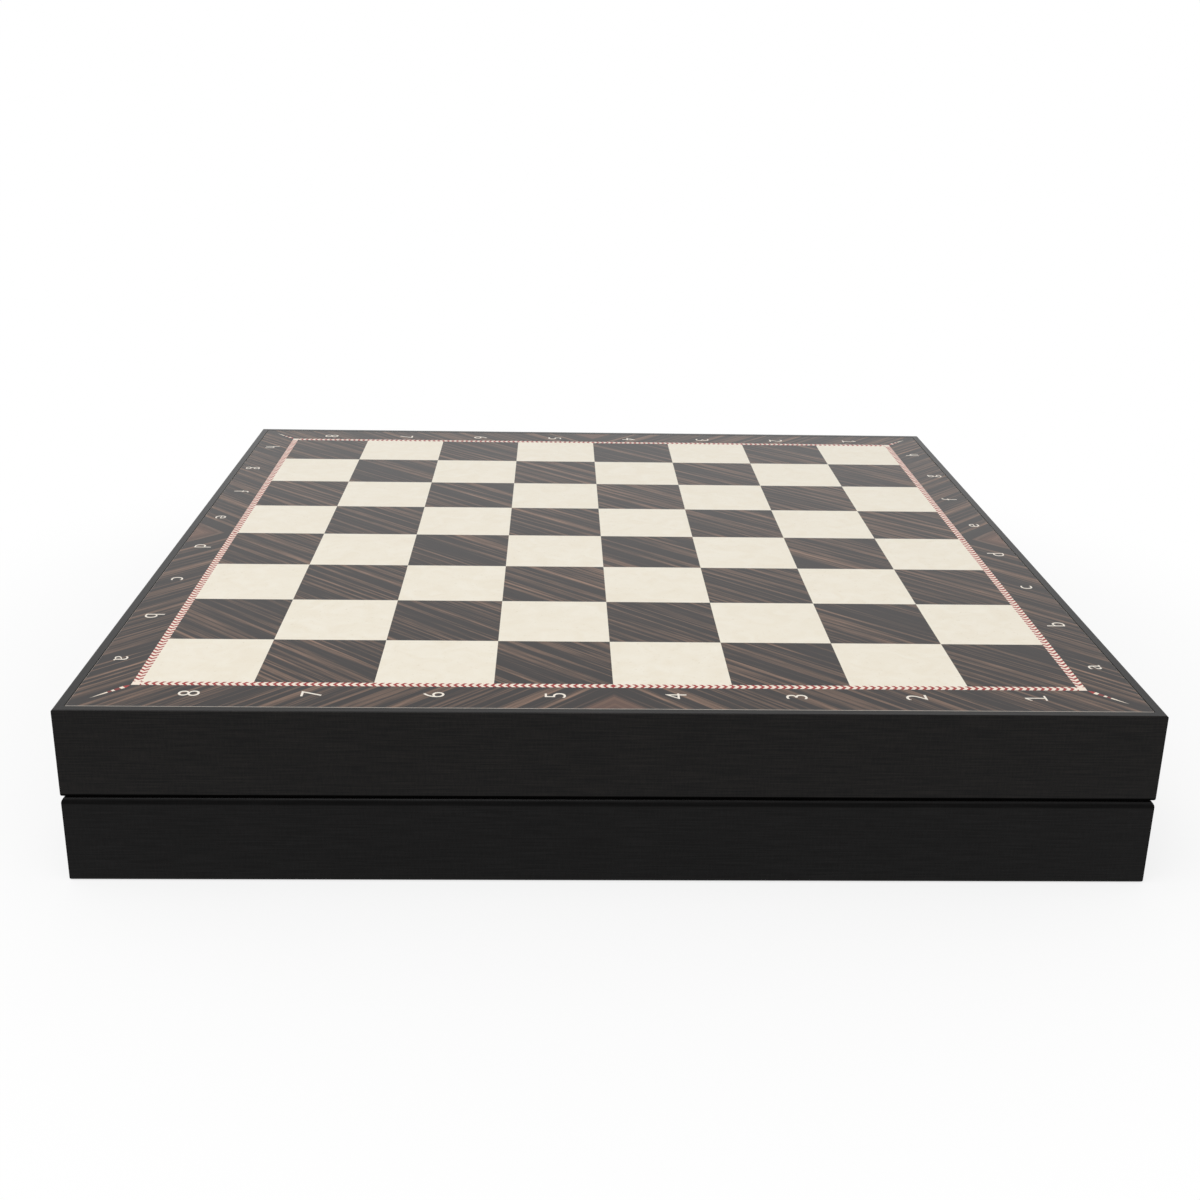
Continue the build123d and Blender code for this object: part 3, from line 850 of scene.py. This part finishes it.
def slotted_head(target, matrix, radius, rise, slot_angle):
    """Adds a screw head to a mesh: a low dome round the local Z axis, with a slot across it."""
    slot_half = slot_half_share * radius
    slot_depth = slot_depth_share * rise
    turned = matrix @ Matrix.Rotation(slot_angle, 4, "Z")
    grid = []
    for line in head_lines:
        grid_row = []
        for station in head_stations:
            y = line * radius
            x = station * math.sqrt(radius**2 - y**2)
            z = rise * (1 - (x * x + y * y) / radius**2)
            if abs(y) <= slot_half:
                z -= slot_depth
            grid_row.append(target.verts.new(turned @ Vector((x, y, z))))
        grid.append(grid_row)
    # Faces in the slot take the second material, the painted slot shade
    for number, (row, next_row) in enumerate(zip(grid, grid[1:])):
        in_slot = max(abs(head_lines[number]), abs(head_lines[number + 1])) <= slot_rim_share
        for corners in zip(row, row[1:], next_row[1:], next_row):
            target.faces.new(corners).material_index = 1 if in_slot else 0


def screw_heads(name, body, places, outward, radius, rise):
    """One piece with a head at every place, each facing outward, its slot left at its own angle."""
    heads = bmesh.new()
    facing = outward.to_track_quat("Z", "X").to_matrix().to_4x4()
    for number, spot in enumerate(places):
        slot_angle = first_slot_angle + number * slot_angle_step
        slotted_head(heads, Matrix.Translation(spot) @ facing, radius, rise, slot_angle)
    bmesh.ops.recalc_face_normals(heads, faces=heads.faces)
    mesh = bpy.data.meshes.new(name)
    heads.to_mesh(mesh)
    heads.free()
    mesh.materials.append(brass)
    mesh.materials.append(slot_painted_shade)
    piece = bpy.data.objects.new(name, mesh)
    bpy.context.collection.objects.link(piece)
    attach(piece, body)


def screw_middles(plate_names, spread):
    """The middle of each plate along Y, moved to either side by the spread."""
    middles = []
    for plate_name in plate_names:
        plate_low, plate_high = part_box(plate_name)
        middles += [(plate_low[1] + plate_high[1]) / 2 + side * spread for side in (-1, 1)]
    return middles


for half, upward in (("base", 1), ("lid", -1)):
    leaves = ["hinge_" + end + "_" + half + "_leaf" for end in ("a", "h")]
    screw_low, screw_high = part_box("hinge_" + half + "_screws")
    face_x = (screw_low[0] + screw_high[0]) / 2
    face_z = screw_high[2] if upward > 0 else screw_low[2]
    spots = [(face_x, y, face_z) for y in screw_middles(leaves, hinge_screw_spread)]
    name = "hinge_" + half + "_screw_heads"
    screw_heads(name, half, spots, Vector((0, 0, upward)), hinge_head_radius, hinge_head_rise)

for half, plate in (("base", "catch"), ("lid", "hasp")):
    plates = ["latch_" + end + "_" + plate + "_plate" for end in ("a", "h")]
    screw_low, screw_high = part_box("latch_" + plate + "_screws")
    face_z = (screw_low[2] + screw_high[2]) / 2
    spots = [(screw_high[0], y, face_z) for y in screw_middles(plates, latch_screw_spread)]
    name = "latch_" + plate + "_screw_heads"
    screw_heads(name, half, spots, Vector((1, 0, 0)), latch_head_radius, latch_head_rise)
